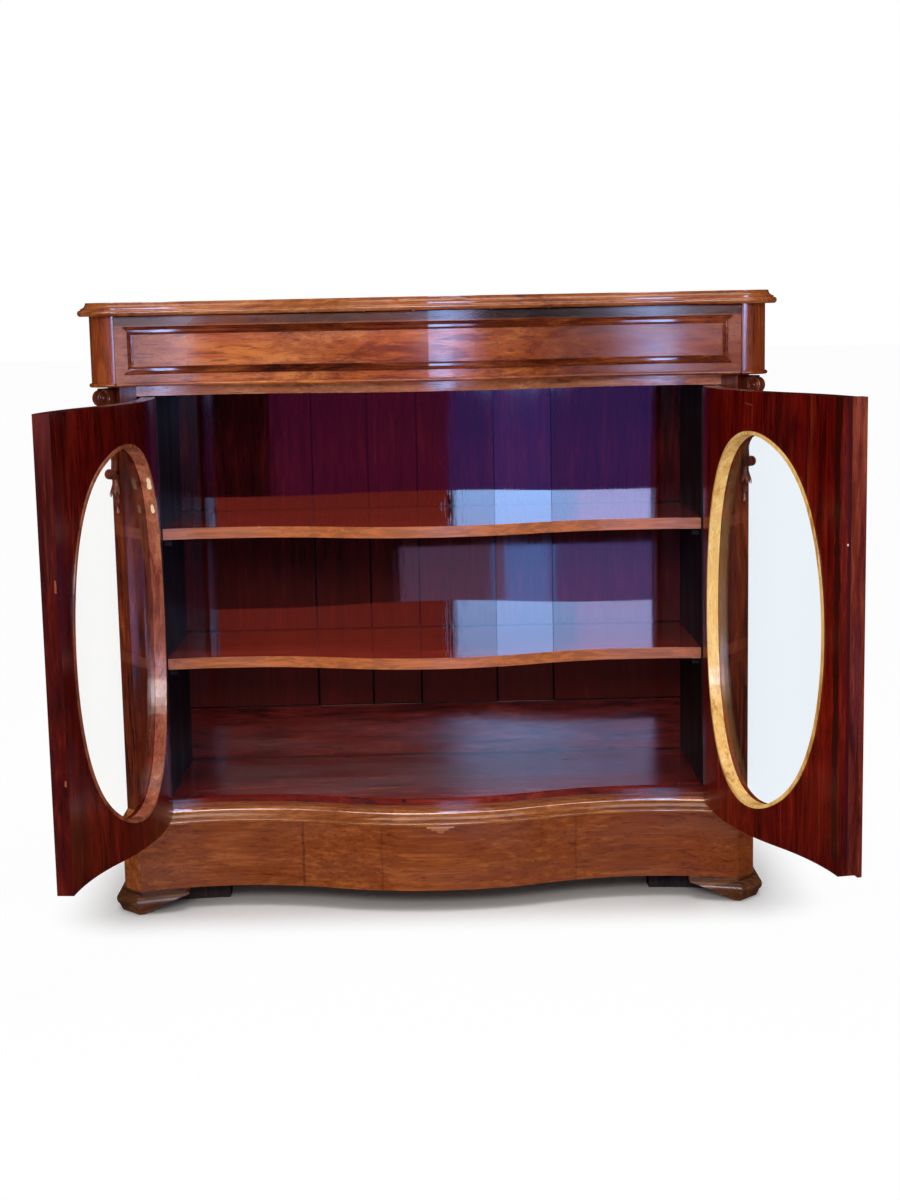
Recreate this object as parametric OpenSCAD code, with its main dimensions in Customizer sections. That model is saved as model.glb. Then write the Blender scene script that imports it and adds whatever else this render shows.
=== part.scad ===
// Serpentine-fronted display cabinet with two oval-glazed doors and a frieze drawer.
// Millimetres, +Z up, the front faces -Y. The origin lies on the floor, in the middle of
// the box round the cabinet as it stands, with its doors open.

/* [Plan] */
// Width over the sides of the carcass, below the frieze
carcass_w = 1020; // [960:1:1100]
// Depth of the carcass from its front corners to its back
carcass_d = 318; // [300:1:380]
// Run of the canted corners, along both directions
cant = 22; // [16:1:28]
// How far the middle of the front swells out past the front corners
bow = 31; // [20:1:38]
// How far the hollows beside the swelling lie behind the front corners
hollow = 24; // [18:1:28]
// Distance of the deepest point of each hollow from the centre line
hollow_x = 333; // [320:1:345]

/* [Heights] */
// Height of the feet
foot_h = 37; // [30:1:45]
// Height of the plinth boards
plinth_h = 107; // [90:1:130]
// Height of the base moulding above the plinth
base_h = 26; // [24:1:30]
// Height of the posts between the base moulding and the frieze
post_h = 689; // [640:1:740]
// Height of the frieze
frieze_h = 110; // [100:1:125]
// Thickness of the top board
top_t = 21; // [19:1:25]

/* [Overhangs] */
// How far the frieze stands out past the carcass
frieze_out = 22; // [18:1:26]
// How far the nose of the top stands out past the carcass
top_out = 40; // [36:1:44]
// How far the plinth stands out past the carcass
plinth_out = 9; // [6:1:10]
// How far the bead of the base moulding stands out past the carcass
base_out = 13; // [12:1:16]
// How far the feet bulge out past the carcass
foot_out = 23; // [20:1:28]

/* [Boards] */
// Width of the face of each front post
post_w = 47; // [42:1:52]
// Depth of each front post
post_d = 60; // [52:1:70]
// Thickness of the end boards
end_t = 20; // [16:1:22]
// Thickness of the linings inside the ends
lining_t = 18; // [12:1:20]
// How far the linings' faces stand in from the sides of the door opening
lining_in = 26; // [22:1:32]
// Thickness of the back boards
back_t = 12; // [10:1:16]
// Thickness of the plinth boards
plinth_t = 22; // [18:1:26]
// Thickness of the bottom board
bottom_t = 12; // [10:1:14]
// Height of the back rail above the underside of the bottom board
back_rail_h = 105; // [80:1:130]

/* [Shelves] */
// Thickness of the shelves
shelf_t = 18; // [14:1:22]
// Height of the lower shelf's top above the bottom board
lower_shelf_at = 231; // [200:1:250]
// Height of the upper shelf's top above the bottom board
upper_shelf_at = 445; // [420:1:470]
// Height and depth of the bearers under the shelves
bearer = 12; // [10:1:16]

/* [Drawer] */
// Thickness of the drawer front
drawer_front_t = 24; // [20:1:26]
// Thickness of the drawer's sides and back
drawer_side_t = 12; // [9:1:14]
// Thickness of the drawer's bottom
drawer_bottom_t = 7; // [6:1:9]
// Height of the drawer's sides
drawer_side_h = 94; // [80:1:96]
// Thickness of the rail and runners under the drawer
rail_t = 16; // [14:1:20]
// Gap at each end of the drawer front
drawer_gap = 0.7; // [0.5:0.1:1.2]

/* [Panel moulding] */
// Distance of the moulding's ends from the ends of the drawer front
panel_inset_x = 13; // [10:1:16]
// Distance of the moulding from the upper edge of the drawer front
panel_inset_top = 17; // [14:1:19]
// Distance of the moulding from the lower edge of the drawer front
panel_inset_bottom = 19; // [17:1:22]
// Width of the moulding
panel_mould_w = 12; // [10:1:14]

/* [Doors] */
// Thickness of the doors
door_t = 24; // [22:1:26]
// Angle at which the left door stands open
left_open = 94.7; // [80:0.1:105]
// Angle at which the right door stands open
right_open = 100.6; // [80:0.1:105]
// Gap between the doors' hinge edges and the posts, and between the two doors
door_gap = 1; // [0.8:0.1:1.5]
// Gap over the doors
door_top_gap = 1.2; // [0.8:0.1:2]
// Gap under the doors
door_floor_gap = 3; // [2:0.5:4]
// Half the width of the oval opening, inside
oval_a = 180; // [150:1:185]
// Half the height of the oval opening, inside
oval_b = 283; // [240:1:290]
// Height of the ovals' centre above the foot of the doors
oval_at = 328; // [315:1:350]
// Thickness of the door's lip in front of the glass
lip_t = 5; // [4:0.5:6]
// How far the lip reaches in over the glass
lip_w = 5; // [4:0.5:7]
// Thickness of the glass
glass_t = 3; // [2.5:0.5:4]
// How far the glazing bead stands out of the door's inner face
bead_proud = 2; // [0:0.5:3]
// Width of the astragal in front of the meeting edges
astragal_w = 21; // [18:1:26]
// How far the astragal stands out in front of the doors
astragal_t = 8; // [6:0.5:10]

/* [Hinges] */
// Height of a hinge leaf
hinge_h = 75; // [60:1:90]
// Distance of the hinges' middles from the ends of the door
hinge_inset = 95; // [80:1:120]
// Thickness of the hinge leaves
leaf_t = 2; // [1.5:0.1:2.5]
// Width of a hinge leaf behind the face of the door
leaf_w = 19; // [16:1:21]
// Radius of the hinge pins
pin_r = 2; // [1.8:0.1:2.3]
// Radius of the knuckles round the pins
knuckle_r = 4; // [3.6:0.1:4.4]

/* [Corbels] */
// Height of the corbels, from the frieze to the tip of the drop
corbel_h = 205; // [190:1:220]
// Width of the corbels' webs
corbel_w = 17; // [14:1:20]
// Radius of the roll at the head of a corbel
roll_r = 13; // [11:0.5:15]
// Radius of the volute at the foot of a corbel's web
volute_r = 9; // [7:0.5:10]
// Height of the volute's centre above the tip of the drop
volute_h = 67; // [62:1:70]
// Height of the leaf's lip above the tip of the drop
leaf_h = 39; // [36:1:42]
// Height of the bud's centre above the tip of the drop
bud_h = 23; // [21:1:25]

/* [Hidden] */
$fn = 96;

// Number of sides of the large circles that draw the front
front_fn = 360;
// A length past any part of the cabinet
beyond = 1600;
// How deep the swept edges reach behind the front line
edge_depth = 90;
// Depth at which the plain boards behind those edges begin
core_y = hollow + edge_depth / 3;
// Clearance between pieces that move past one another
running = 0.3;
// How much slimmer a rounded corner is than the runs that it grows out of
slim = 0.02;
$slim = 0;
$deep = edge_depth;

// Levels above the floor
plinth_z = foot_h;
base_z = plinth_z + plinth_h;
post_z = base_z + base_h;
bottom_z = post_z + bottom_t;
frieze_z = post_z + post_h;
top_z = frieze_z + frieze_h;
rail_z = frieze_z - rail_t;
back_rail_z = post_z + back_rail_h;

// Places in the plan of the carcass
side_x = carcass_w / 2;
corner_x = side_x - cant;
opening_x = side_x - post_w;
inner_x = opening_x - lining_in;
end_x = side_x - end_t;
back_y = carcass_d - back_t;
top_back = carcass_d + 2;
rebate = 6;
plank_x = end_x + rebate;
plank_edges = [-plank_x, -207, -110, -24, 111, 211, plank_x];
base_depth = 75;
plinth_in = plinth_out - plinth_t;
plinth_return = 34;

// The front line: a swelling of radius bow_r between two hollows of radius hollow_r
join_angle = 2 * atan((bow + hollow) / hollow_x);
hollow_r = (pow(corner_x - hollow_x, 2) + hollow * hollow) / (2 * hollow);
bow_r = hollow_x / sin(join_angle) - hollow_r;
bow_cy = bow_r - bow;
hollow_cy = hollow - hollow_r;

// Where the swelling runs into a hollow, and the angle of the line between their centres there
joint = [bow_r * sin(join_angle), bow_cy - bow_r * cos(join_angle)];

// The rounded corners of frieze and top: radius at the carcass line, centre, and the angle where they start
round_r = 12;
round_x = side_x - round_r;
round_angle = asin((round_x - hollow_x) / (hollow_r + round_r));
round_y = hollow_cy + (hollow_r + round_r) * cos(round_angle);

// Depth of the front line at a distance x from the centre line
function front_y(x) =
  abs(x) < bow_r * sin(join_angle)
    ? bow_cy - sqrt(bow_r * bow_r - x * x)
    : hollow_cy + sqrt(hollow_r * hollow_r - pow(abs(x) - hollow_x, 2));

// Angle at which the front line turns forward at a distance x past the hollow
function front_turn(x) = asin((x - hollow_x) / hollow_r);

// Doors and their hinge axes, which lie in front of the gaps between door and post
door_z = post_z + door_floor_gap;
door_h = rail_z - door_top_gap - door_z;
door_edge_x = opening_x - door_gap;
meeting_x = door_gap / 2;
hinge_x = opening_x - door_gap / 2;
hinge_y = front_y(hinge_x) - knuckle_r - 1.2;
hinge_zs = [door_z + hinge_inset, door_z + door_h - hinge_inset];
leaf_front = hinge_y + knuckle_r + running;
leaf_back = front_y(opening_x) + leaf_w;
knuckle_count = 5;
knuckle_h = hinge_h / knuckle_count;
screw_y = (leaf_front + leaf_back) / 2 + 1;
screw_pitch = 0.3 * hinge_h;
screw_r = 1.5;
screw_head_r = 3.1;
screw_l = 16;
oval_x = (meeting_x + door_edge_x) / 2;
oval_z = door_z + oval_at;

// The astragal, in the plan of the closed doors
tongue = 10;
astragal_left = meeting_x + tongue - astragal_w;
astragal_right = meeting_x + tongue;
astragal_front = front_y(0) - astragal_t;
astragal_seat = front_y(0) - 0.5;
nose_r = 3;

// Where a point of the closed right door goes when the door stands open at an angle
function opened(p, angle) = [
  hinge_x + (p.x - hinge_x) * cos(angle) - (p.y - hinge_y) * sin(angle),
  hinge_y + (p.x - hinge_x) * sin(angle) + (p.y - hinge_y) * cos(angle)
];

// How far the open doors reach, and from that the shift to the middle of the standing cabinet
nose_at = opened([astragal_left + nose_r, astragal_front + nose_r], right_open);
left_tip = opened([meeting_x, front_y(0) + door_t], left_open);
reach_right = max(side_x + top_out, nose_at.x + nose_r);
reach_front = min(nose_at.y - nose_r, left_tip.y);
home = [-(reach_right - side_x - top_out) / 2, -(reach_front + top_back) / 2, 0];

// Shelves and linings
shelf_set = door_t + 8;
lining_front = front_y(inner_x) + door_t + 6;
lower_shelf_z = bottom_z + lower_shelf_at - shelf_t;
upper_shelf_z = bottom_z + upper_shelf_at - shelf_t;
shelf_play = 0.5;

// Drawer
drawer_half = end_x - drawer_gap;
drawer_side_x = end_x - 1.3;
drawer_inside_x = drawer_side_x - drawer_side_t;
drawer_end = back_y - 16;
drawer_low = frieze_z + running;
drawer_face_in = frieze_out - drawer_front_t;
drawer_bottom_z = drawer_low + 4;
kicker_z = drawer_low + drawer_side_h + 0.7;
frieze_bead_r = 3;
drawer_bead_end = asin((drawer_half - hollow_x) / (hollow_r - frieze_out + 2));
panel_low = frieze_z + panel_inset_bottom;
panel_high = top_z - panel_inset_top;
panel_half = drawer_half - panel_inset_x;

// Stop stud on the front edge of the bottom board
stop_x = -56;
stop_r = 4.8;
stop_z = post_z + bottom_t / 2;
board_set = door_t + 3;
stop_y = front_y(stop_x) + board_set;
stop_out = board_set - door_t - 1.1;

// Corbel, by distances out from the canted face and heights under the frieze
roll_out = 24;
roll_z = frieze_z - roll_r - 4;
volute_out = 14.5;
tip_z = frieze_z - corbel_h;
volute_z = tip_z + volute_h;
leaf_z = tip_z + leaf_h;
bud_z = tip_z + bud_h;
drop_r = 4.5;
drop_z = tip_z + drop_r;

// Feet
foot_in = 12;
foot_tip_x = corner_x - 76;
foot_side_l = 112;
foot_arch_x = corner_x - 4;
arch_h = 38;
foot_block_x = [corner_x - 136, corner_x - 20];
foot_block_t = 70;
foot_block_set = 33;

// Places a piece drawn about the cabinet's centre line and front corners
module placed() translate(home) children();

// Draws a right-hand piece, or its mirror image on the left
module handed(side) mirror([side < 0 ? 1 : 0, 0, 0]) children();

// Swings a piece of the closed right door open, or its mirror image on the left
module hung(side) handed(side)
  translate([hinge_x, hinge_y, 0]) rotate([0, 0, side < 0 ? left_open : right_open])
    translate([-hinge_x, -hinge_y, 0]) children();

// A box between two corners
module block(low, high) translate(low) cube(high - low);

// Sweeps a profile clockwise from the x axis, its own x measured out from a radius
module swept(radius, angle) mirror([0, 1, 0]) rotate_extrude(angle = angle, $fn = front_fn)
  translate([radius, 0]) children();

// Sweeps a profile along the front line; its x is the distance out from that line, its y the height
module front_run(end = 32) for (side = [-1, 1]) handed(side) intersection() {
  translate([joint.x, joint.y, 0]) rotate([0, 0, 270 + join_angle]) {
    translate([-bow_r, 0, 0]) swept(bow_r, join_angle + 1) children();
    translate([hollow_r, 0, 0]) rotate([0, 0, 180]) swept(hollow_r, join_angle + end) mirror([1, 0]) children();
  }
  block([0, -beyond, 0], [beyond, beyond, beyond]);
}

// Runs a profile straight past a point of the plan, facing out at an angle
module straight_run(at, angle) translate([at.x, at.y, 0]) rotate([0, 0, angle]) rotate([90, 0, 0])
  linear_extrude(beyond, center = true) children();

// Extrudes an outline seen from the front right through the cabinet
module through() rotate([90, 0, 0]) linear_extrude(beyond, center = true) children();

// A rectangular profile between two distances from the front line
module strip(from, to, low, high) translate([from, low]) square([to - from, high - low]);

// A profile that fills everything inside a distance, as deep as $deep
module up_to(out, low, high) strip(-$deep, out - $slim, low + $slim, high - $slim);

// A round part of a profile
module bead(out, z, r) translate([out, z]) rotate(180) circle(r - $slim, $fn = 48);

// The circle that hollows a profile out
module cove(out, z, r) translate([out, z]) circle(r + $slim, $fn = 48);

// Everything behind a line set in from the front line
module behind(set_in, low, high) {
  front_run() strip(-edge_depth, -set_in, low, high);
  block([-beyond / 2, core_y, low], [beyond / 2, beyond / 2, high]);
}

// A layer whose edge profile runs round the front, the canted corners and the sides
module canted(low, high, back) intersection() {
  union() {
    front_run($deep = edge_depth) children();
    block([-beyond / 2, core_y, low], [beyond / 2, back, high]);
  }
  intersection_for (side = [-1, 1]) handed(side) intersection() {
    straight_run([corner_x, 0], -45, $deep = beyond) children();
    straight_run([side_x, 0], 0, $deep = beyond) children();
  }
  block([-beyond / 2, -beyond / 2, low], [beyond / 2, back, high]);
}

// Runs a profile from a rounded corner along the side to the back
module side_run(low, high, back) intersection() {
  straight_run([side_x, 0], 0) children();
  block([0, round_y, low], [beyond, back, high]);
}

// Edge of the top: a quarter round over a thumb nose
module top_edge() {
  nose = 5;
  quarter = 8;
  shoulder = top_out - nose - quarter;
  up_to(top_out - nose, top_z, top_z + 2 * nose);
  bead(top_out - nose, top_z + nose, nose);
  up_to(shoulder, top_z, top_z + top_t);
  difference() {
    up_to(top_out - nose, top_z + nose, top_z + top_t - 1);
    cove(top_out - nose + 1, top_z + top_t, quarter + 1);
  }
}

// Edge of the frieze: a flat face over a small bead
module frieze_edge() {
  frieze_face(frieze_z, top_z);
  frieze_bead(frieze_z);
}
module frieze_face(low, high) {
  up_to(frieze_out, low + frieze_bead_r, high);
  up_to(frieze_out - 1, low, high);
}
module frieze_bead(low) bead(frieze_out + 1, low + frieze_bead_r, frieze_bead_r);

// Edge of the base moulding: a cavetto over a bead
module base_edge() {
  bead_r = 4;
  cove_r = base_h - 2 * bead_r;
  difference() {
    up_to(base_out - bead_r - 1, base_z, post_z);
    cove(cove_r, post_z, cove_r);
  }
  bead(base_out - bead_r, base_z + bead_r, bead_r);
}

// Edge of a foot: a neck under the plinth and a bulging roll that draws in to the floor
module foot_edge() {
  neck = 5.5;
  roll = 11.5;
  up_to(plinth_out - 2, 0, foot_h);
  bead(foot_out - roll, foot_h - neck - roll, roll);
  polygon([[0, 0], [foot_out - 9, 0], [foot_out - 2.5, roll + 3], [0, roll + 3]]);
}

module top_board() placed() color("sienna") {
  front_run(round_angle) top_edge();
  for (side = [-1, 1]) handed(side) {
    translate([round_x, round_y, 0]) rotate([0, 0, 2])
      swept(round_r, 94 + round_angle, $deep = round_r, $slim = slim) top_edge();
    side_run(top_z, top_z + top_t, top_back) top_edge();
  }
  block([-round_x, core_y, top_z], [round_x, top_back, top_z + top_t]);
}

module frieze_block(side) placed() color("saddlebrown") handed(side) intersection() {
  union() {
    translate([round_x, round_y, 0]) swept(round_r, 180, $deep = round_r) frieze_edge();
    side_run(frieze_z, top_z, post_d) frieze_edge();
  }
  block([end_x, -beyond, frieze_z], [beyond, post_d, top_z]);
}

module frieze_side(side) placed() color("saddlebrown") handed(side) intersection() {
  straight_run([side_x, 0], 0) frieze_edge();
  block([side_x, post_d, frieze_z], [beyond, carcass_d, top_z]);
}

module front_post(side) placed() color("brown") handed(side) difference() {
  canted(post_z, frieze_z, post_d) up_to(0, post_z, frieze_z);
  block([-beyond, -beyond, 0], [opening_x, beyond, beyond]);
  for (z = hinge_zs) {
    leaf_plate(opening_x, z);
    screws(opening_x, z, 1, 0.05);
  }
}

module end_board(side) placed() color("brown") handed(side) difference() {
  block([end_x, post_d, post_z], [side_x, carcass_d, top_z]);
  block([end_x - rebate, back_y, 0], [plank_x, beyond, beyond]);
}

module side_lining(side) placed() color("maroon") handed(side)
  block([inner_x, lining_front, bottom_z], [inner_x + lining_t, back_y, rail_z]);

module back_board(number) placed() color("darkred")
  block([plank_edges[number - 1], back_y, back_rail_z], [plank_edges[number], carcass_d, top_z]);

module back_bottom_rail() placed() color("darkred")
  block([-plank_x, back_y, base_z], [plank_x, carcass_d, back_rail_z]);

module bottom_board() placed() color("maroon") difference() {
  intersection() {
    behind(board_set, post_z, bottom_z);
    union() {
      block([-opening_x, -beyond, post_z], [opening_x, back_y, bottom_z]);
      block([-end_x, post_d, post_z], [end_x, back_y, bottom_z]);
    }
  }
  stud(0.05);
}

module stud(slack) translate([stop_x, stop_y, stop_z]) rotate([90, 0, 0])
  translate([0, 0, -10 - slack]) cylinder(h = 10 + stop_out + slack, r = stop_r + slack);

module door_stop() placed() color("goldenrod") stud(0);

module base_moulding_front() placed() color("peru") intersection() {
  canted(base_z, post_z, carcass_d) base_edge();
  front_run() strip(-base_depth, base_out + 1, base_z, post_z);
  block([-corner_x, -beyond, 0], [corner_x, beyond, beyond]);
}

module base_moulding(side) placed() color("peru") handed(side) difference() {
  canted(base_z, post_z, carcass_d) base_edge();
  block([-beyond, -beyond, 0], [opening_x - 30, beyond, beyond]);
  block([0, -beyond, 0], [corner_x, front_y(opening_x) + base_depth + 14, beyond]);
  block([0, back_y, 0], [plank_x, beyond, beyond]);
}

module plinth_front() placed() color("saddlebrown") intersection() {
  front_run() strip(plinth_in, plinth_out, plinth_z, base_z);
  block([-corner_x, -beyond, 0], [corner_x, beyond, beyond]);
}

module plinth_side(side) placed() color("saddlebrown") handed(side) intersection() {
  canted(plinth_z, base_z, carcass_d) up_to(plinth_out, plinth_z, base_z);
  union() {
    block([corner_x, -beyond, 0], [beyond, plinth_return, beyond]);
    block([side_x + plinth_in, 0, 0], [beyond, carcass_d, beyond]);
  }
}

module plinth_back() placed() color("saddlebrown")
  block([-side_x - plinth_in, carcass_d - plinth_t, plinth_z], [side_x + plinth_in, carcass_d, base_z]);

// The scoop under a foot's return: half a low arch, from the floor at one distance to the foot's tip
module arch(from, tip) {
  run = 2 * abs(tip - from);
  arch_r = (run * run + arch_h * arch_h) / (2 * arch_h);
  intersection() {
    translate([2 * tip - from, arch_h - arch_r]) circle(arch_r, $fn = front_fn);
    translate([min(from, 2 * tip - from) - 1, -1]) square([run + 2, foot_h + 2]);
  }
}

module front_foot(side) placed() color("olive") handed(side) difference() {
  intersection() {
    canted(0, foot_h, carcass_d) foot_edge();
    union() {
      intersection() {
        front_run() strip(-foot_in, foot_out + 1, 0, foot_h);
        block([foot_tip_x, -beyond, 0], [side_x, beyond, foot_h]);
      }
      block([foot_arch_x, -beyond, 0], [beyond, foot_in + cant, foot_h]);
      block([side_x - foot_in, -beyond, 0], [beyond, foot_side_l, foot_h]);
    }
  }
  through() arch(foot_arch_x, foot_tip_x);
  rotate([0, 0, 90]) through() arch(foot_in + cant, foot_side_l);
}

module foot_blocks() placed() color("dimgray") for (side = [-1, 1]) handed(side) intersection() {
  front_run() {
    strip(plinth_in - foot_block_t, plinth_in - foot_block_set, 0, base_z);
    strip(plinth_in - foot_block_t, plinth_in, plinth_z, base_z);
  }
  block([foot_block_x[0], -beyond, 0], [foot_block_x[1], beyond, base_z]);
}

module rear_feet() placed() color("dimgray") for (side = [-1, 1]) handed(side)
  block([side_x + plinth_in - foot_block_t, carcass_d - plinth_t - foot_block_t, 0],
        [side_x + plinth_in, carcass_d - plinth_t, base_z]);

// A shelf with the front line's curve, resting on its bearers
module shelf(z) placed() color("maroon") intersection() {
  behind(shelf_set, z, z + shelf_t);
  block([shelf_play - inner_x, -beyond, z], [inner_x - shelf_play, back_y - shelf_play, z + shelf_t]);
}

module upper_shelf() shelf(upper_shelf_z);
module lower_shelf() shelf(lower_shelf_z);

module shelf_bearers() placed() color("maroon") for (side = [-1, 1], z = [lower_shelf_z, upper_shelf_z])
  handed(side) block([inner_x - bearer, lining_front + 2 * bearer, z - bearer], [inner_x, back_y, z]);

module drawer_rail() placed() color("saddlebrown") intersection() {
  behind(0, rail_z, frieze_z);
  block([-opening_x, -beyond, rail_z], [opening_x, post_d, frieze_z]);
}

module drawer_runner(side) placed() color("burlywood") handed(side)
  block([inner_x, post_d, rail_z], [end_x, back_y, frieze_z]);

module drawer_kickers() placed() color("burlywood") for (side = [-1, 1]) handed(side)
  block([end_x - end_t, post_d, kicker_z], [end_x, back_y, top_z]);

module drawer_front() placed() color("saddlebrown") {
  intersection() {
    front_run($deep = -drawer_face_in) frieze_face(drawer_low, top_z - 1);
    block([-drawer_half, -beyond, 0], [drawer_half, beyond, beyond]);
  }
  front_run(drawer_bead_end) frieze_bead(drawer_low);
}

module drawer_side(side) placed() color("burlywood") handed(side) intersection() {
  behind(-drawer_face_in, drawer_low, drawer_low + drawer_side_h);
  block([drawer_inside_x, -beyond, 0], [drawer_side_x, drawer_end, beyond]);
}

module drawer_back() placed() color("burlywood")
  block([-drawer_inside_x, drawer_end - drawer_side_t, drawer_low],
        [drawer_inside_x, drawer_end, drawer_low + drawer_side_h]);

module drawer_bottom() placed() color("burlywood") intersection() {
  behind(-drawer_face_in, drawer_bottom_z, drawer_bottom_z + drawer_bottom_t);
  block([-drawer_inside_x, -beyond, 0], [drawer_inside_x, drawer_end - drawer_side_t, beyond]);
}

// Section of the drawer's panel moulding: out from the face, and across from its inner to its outer edge
module panel_section() {
  base = 2.2;
  outer_r = 2.6;
  inner_r = 1.6;
  strip(frieze_out, frieze_out + base, 0, panel_mould_w);
  facets(frieze_out + base, panel_mould_w - outer_r, outer_r);
  facets(frieze_out + base, inner_r, inner_r);
}

// A thin round worked with flat facets
module facets(out, z, r) translate([out, z])
  polygon([[-1, -r], for (angle = [-90 : 30 : 90]) [r * cos(angle), r * sin(angle)], [-1, r]]);

module panel_bars() {
  inner_half = panel_half - panel_mould_w;
  inner_low = panel_low + panel_mould_w;
  inner_high = panel_high - panel_mould_w;
  intersection() {
    front_run() {
      translate([0, inner_high]) panel_section();
      translate([0, inner_low]) mirror([0, 1]) panel_section();
    }
    through() for (bar = [[panel_high, inner_high], [panel_low, inner_low]])
      polygon([[-panel_half, bar[0]], [panel_half, bar[0]], [inner_half, bar[1]], [-inner_half, bar[1]]]);
  }
  for (side = [-1, 1]) handed(side) intersection() {
    translate([inner_half, front_y(inner_half), 0]) rotate([0, 0, -front_turn(inner_half)])
      linear_extrude(top_z) rotate(-90) panel_section();
    through() polygon([[inner_half - 3, inner_low + 3], [inner_half - 3, inner_high - 3],
                       [panel_half, panel_high], [panel_half, panel_low]]);
  }
}

module drawer_moulding() placed() color("sienna") difference() {
  panel_bars();
  front_run() strip(0, frieze_out, panel_low - 1, panel_high + 1);
}

// An upright oval prism right through a closed door
module oval(a, b) translate([oval_x, 0, oval_z]) through()
  polygon([for (i = [0 : front_fn / 3 - 1]) [a * cos(3 * i), b * sin(3 * i)]]);

// A layer of a closed door between two distances behind its face
module door_layer(from, to) front_run() strip(-to, -from, door_z, door_z + door_h);

module door(side) placed() color("firebrick") hung(side) difference() {
  intersection() {
    door_layer(0, door_t);
    block([meeting_x, -beyond, 0], [door_edge_x, beyond, beyond]);
  }
  oval(oval_a - lip_w, oval_b - lip_w);
  intersection() {
    door_layer(lip_t, door_t + 5);
    oval(oval_a, oval_b);
  }
  for (z = hinge_zs) {
    leaf_plate(door_edge_x - leaf_t, z);
    screws(door_edge_x, z, -1, 0.05);
  }
  if (side > 0) block([-1, -beyond, 0], [astragal_right, front_y(0) + tongue, beyond]);
}

module glass(side) placed() color("lightblue", 0.4) hung(side) intersection() {
  door_layer(lip_t, lip_t + glass_t);
  oval(oval_a - running, oval_b - running);
}

module glazing_bead(side) placed() color("goldenrod") hung(side) difference() {
  intersection() {
    door_layer(lip_t + glass_t, door_t + bead_proud);
    oval(oval_a, oval_b);
  }
  oval(oval_a - lip_w, oval_b - lip_w);
}

module door_astragal() placed() color("firebrick") hung(1) translate([0, 0, door_z])
  linear_extrude(door_h) {
    translate([meeting_x, astragal_front + nose_r])
      square([tongue, front_y(0) + tongue - astragal_front - nose_r]);
    translate([astragal_left, astragal_front + nose_r])
      square([astragal_w, astragal_seat - astragal_front - nose_r]);
    translate([astragal_left + nose_r, astragal_front])
      square([astragal_w - 2 * nose_r, nose_r + 1]);
    for (x = [astragal_left + nose_r, astragal_right - nose_r])
      translate([x, astragal_front + nose_r]) circle(nose_r);
  }

// The flat of a hinge leaf, from its face inwards
module leaf_plate(x, z)
  block([x, leaf_front, z - hinge_h / 2], [x + leaf_t, leaf_back, z + hinge_h / 2]);

// A row of countersunk screws driven in from a face, to the right or to the left
module screws(x, z, way, slack) for (row = [-1, 0, 1])
  translate([x, screw_y, z + row * screw_pitch]) rotate([0, 90 * way, 0]) {
    cylinder(h = screw_head_r - screw_r, r1 = screw_head_r + slack, r2 = screw_r + slack, $fn = 32);
    cylinder(h = screw_l + slack, r = screw_r + slack, $fn = 32);
  }

// A hinge leaf with its share of the knuckles
module leaf(x, z, share, way) difference() {
  union() {
    leaf_plate(x, z);
    for (i = share) translate([0, 0, z - hinge_h / 2 + i * knuckle_h + running / 2]) {
      translate([hinge_x, hinge_y, 0]) cylinder(h = knuckle_h - running, r = knuckle_r);
      block([x, hinge_y, 0], [x + leaf_t, leaf_front + 1, knuckle_h - running]);
    }
  }
  translate([hinge_x, hinge_y, z]) cylinder(h = 2 * hinge_h, r = pin_r + 0.05, center = true);
  screws(way > 0 ? x : x + leaf_t, z, way, 0.05);
}

module hinge_leaves_fixed() placed() color("goldenrod") for (side = [-1, 1], z = hinge_zs)
  handed(side) leaf(opening_x, z, [0, 2, 4], 1);

module hinge_leaves(side) placed() color("goldenrod") hung(side) for (z = hinge_zs)
  leaf(door_edge_x - leaf_t, z, [1, 3], -1);

module hinge_pins() placed() color("gold") for (side = [-1, 1], z = hinge_zs)
  handed(side) translate([hinge_x, hinge_y, z]) cylinder(h = hinge_h + 2, r = pin_r, center = true);

module hinge_screws_fixed() placed() color("gold") for (side = [-1, 1], z = hinge_zs)
  handed(side) screws(opening_x, z, 1, 0);

module hinge_screws(side) placed() color("gold") hung(side) for (z = hinge_zs)
  screws(door_edge_x, z, -1, 0);

// Side view of a corbel's web, by distance out from the canted face and height
module corbel_web() {
  throat_z = frieze_z - 0.27 * corbel_h;
  throat_out = roll_out + 18;
  throat_r = 25;
  belly_z = frieze_z - 0.44 * corbel_h;
  belly_r = 23;
  strip(0, 7, leaf_z, frieze_z);
  strip(0, roll_out, roll_z, frieze_z);
  translate([roll_out, roll_z]) circle(roll_r);
  difference() {
    strip(0, roll_out, belly_z, roll_z);
    translate([throat_out, throat_z]) circle(throat_r);
  }
  translate([-1, belly_z]) circle(belly_r);
  translate([volute_out, volute_z]) circle(volute_r);
  strip(0, volute_out, volute_z - volute_r, volute_z);
}

module corbel_body() {
  rotate([90, 0, 0]) linear_extrude(corbel_w, center = true) intersection() {
    corbel_web();
    strip(0, beyond, 0, frieze_z);
  }
  for (boss = [[roll_out, roll_z, roll_r], [volute_out, volute_z, volute_r]])
    translate([boss[0], 0, boss[1]]) rotate([90, 0, 0])
      cylinder(h = corbel_w + 3, r = 0.4 * boss[2], center = true);
  intersection() {
    block([0, -beyond, 0], [beyond, beyond, beyond]);
    union() {
      translate([3, 0, leaf_z - 16]) {
        cylinder(h = 9, r1 = 5, r2 = 12);
        translate([0, 0, 9]) cylinder(h = 12, r1 = 12, r2 = 6);
      }
      translate([3, 0, bud_z]) sphere(6.5);
      translate([2.5, 0, drop_z]) sphere(drop_r);
      translate([2.5, 0, drop_z]) cylinder(h = bud_z - drop_z, r1 = drop_r, r2 = 1.5);
    }
  }
}

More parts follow.
